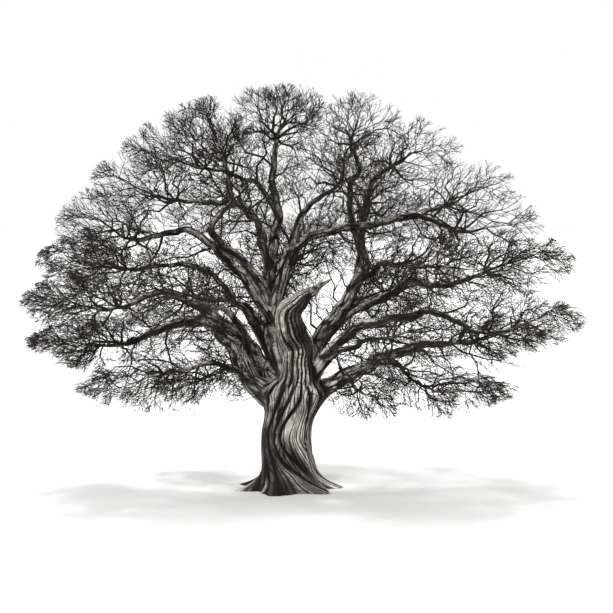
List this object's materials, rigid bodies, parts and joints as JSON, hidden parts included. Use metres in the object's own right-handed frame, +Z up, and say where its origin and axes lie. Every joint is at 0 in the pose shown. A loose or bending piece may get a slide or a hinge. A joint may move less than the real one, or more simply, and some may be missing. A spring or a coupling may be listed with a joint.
{
  "type": "oak tree",
  "caption": "Leafless open-grown oak with a fluted flaring trunk, a bare pointed stem, spreading boughs and masses of twigs.",
  "frame": {"origin": "centre of the flat cut under the trunk, at ground level", "axes": "+X to the right of the drawing's view, +Y away from the viewer, +Z up the trunk"},
  "size_m": [24.1699, 18.3725, 17.4306],
  "materials": {
    "bark": "deeply furrowed grey-brown bark, matte",
    "twigs": "dark brown-grey winter twigs, matte"
  },
  "bodies": {
    "root": {"trunk": "bark", "front_stem": "bark", "left_leader": "bark", "right_leader": "bark", "right_bottom": "bark", "right_low": "bark", "left_long": "bark", "left_main": "bark", "left_arch": "bark", "left_hook": "bark", "left_mid": "bark", "left_upper": "bark", "left_high": "bark", "left_low": "bark", "left_hang": "bark", "right_arch": "bark", "leader_right": "bark", "right_arch_upper": "bark", "right_fork": "bark", "right_main": "bark", "right_mid": "bark", "right_droop": "bark", "right_hang": "bark", "front_left": "bark", "front_right": "bark", "front_high": "bark", "back_left": "bark", "back_right": "bark", "back_mid": "bark", "back_high_left": "bark", "back_high_right": "bark", "left_leader_twigs": "twigs", "right_leader_twigs": "twigs", "right_bottom_twigs": "twigs", "right_low_twigs": "twigs", "left_long_twigs": "twigs", "left_main_twigs": "twigs", "left_arch_twigs": "twigs", "left_hook_twigs": "twigs", "left_mid_twigs": "twigs", "left_upper_twigs": "twigs", "left_high_twigs": "twigs", "left_low_twigs": "twigs", "left_hang_twigs": "twigs", "right_arch_twigs": "twigs", "leader_right_twigs": "twigs", "right_arch_upper_twigs": "twigs", "right_fork_twigs": "twigs", "right_main_twigs": "twigs", "right_mid_twigs": "twigs", "right_droop_twigs": "twigs", "right_hang_twigs": "twigs", "front_left_twigs": "twigs", "front_right_twigs": "twigs", "front_high_twigs": "twigs", "back_left_twigs": "twigs", "back_right_twigs": "twigs", "back_mid_twigs": "twigs", "back_high_left_twigs": "twigs", "back_high_right_twigs": "twigs"}
  },
  "joints": []
}
